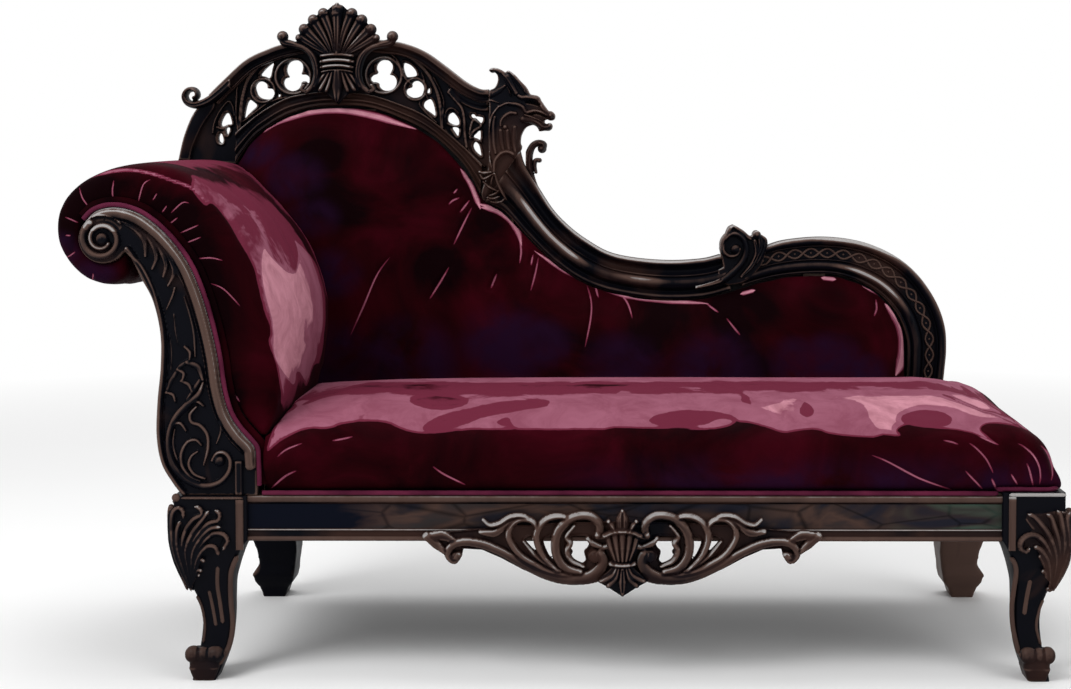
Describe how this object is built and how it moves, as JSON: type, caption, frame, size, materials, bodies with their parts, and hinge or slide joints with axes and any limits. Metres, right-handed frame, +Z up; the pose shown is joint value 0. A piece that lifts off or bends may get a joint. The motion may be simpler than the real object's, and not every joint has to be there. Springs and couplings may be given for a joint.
{
  "type": "chaise longue",
  "caption": "Carved chaise longue with one scrolled arm, a pierced arched crest falling to a low curved back, scroll-toed legs and stuffed velvet seat, back and arm.",
  "frame": {"origin": "on the floor, under the middle of the overall length and depth", "axes": "+X from the scrolled arm towards the free end, +Y from the sitter's front to the back, +Z up"},
  "size_m": [1.8151, 0.7041, 1.2463],
  "materials": {
    "ebony": "ebonised and polished hardwood, worn brown on the raised edges",
    "brown_ebony": "dark stained hardwood with a figured, marbled grain under polish",
    "beech": "plain sawn inner frame timber",
    "velvet": "deep burgundy silk velvet with a pink sheen and purple shadows",
    "cord_velvet": "wine coloured velvet-covered piping cord",
    "jute": "woven jute webbing and hessian",
    "black_cloth": "black lining cloth",
    "spring_steel": "drawn spring wire"
  },
  "bodies": {
    "root": {"front_left_leg": "ebony", "front_right_leg": "ebony", "rear_left_leg": "ebony", "rear_right_leg": "ebony", "front_seat_rail": "brown_ebony", "left_end_rail": "ebony", "right_end_rail": "ebony", "back_seat_rail": "beech", "seat_cross_rail_1": "beech", "seat_cross_rail_2": "beech", "corner_block_front_left": "beech", "corner_block_front_right": "beech", "corner_block_rear_left": "beech", "corner_block_rear_right": "beech", "arm_facing": "ebony", "arm_rear_stump": "beech", "arm_canvas": "jute", "arm_top_rail": "beech", "arm_lower_rail": "beech", "outside_arm_cover": "velvet", "crest_board_left": "ebony", "crest_board_right": "ebony", "crest_rail": "brown_ebony", "inner_arch_moulding": "brown_ebony", "back_left_post": "ebony", "slope_rail": "ebony", "end_hump_rail": "ebony", "crest_cartouche": "ebony", "beast_finial": "ebony", "slope_scroll": "ebony", "slope_leaf": "ebony", "slope_volute": "ebony", "end_rail_lace": "brown_ebony", "back_bottom_rail": "beech", "back_stay_1": "beech", "back_stay_2": "beech", "back_stay_3": "beech", "back_stay_4": "beech", "outside_back_cover": "black_cloth", "apron_carving": "brown_ebony", "apron_urn": "ebony", "back_pad": "velvet", "arm_pad": "velvet", "seat_pad": "velvet", "seat_piping": "cord_velvet", "arm_piping": "cord_velvet", "seat_webbing": "jute", "dust_cover": "black_cloth", "coil_spring_1": "spring_steel", "coil_spring_2": "spring_steel", "coil_spring_3": "spring_steel", "coil_spring_4": "spring_steel", "coil_spring_5": "spring_steel", "coil_spring_6": "spring_steel", "spring_canvas": "jute"}
  },
  "joints": []
}
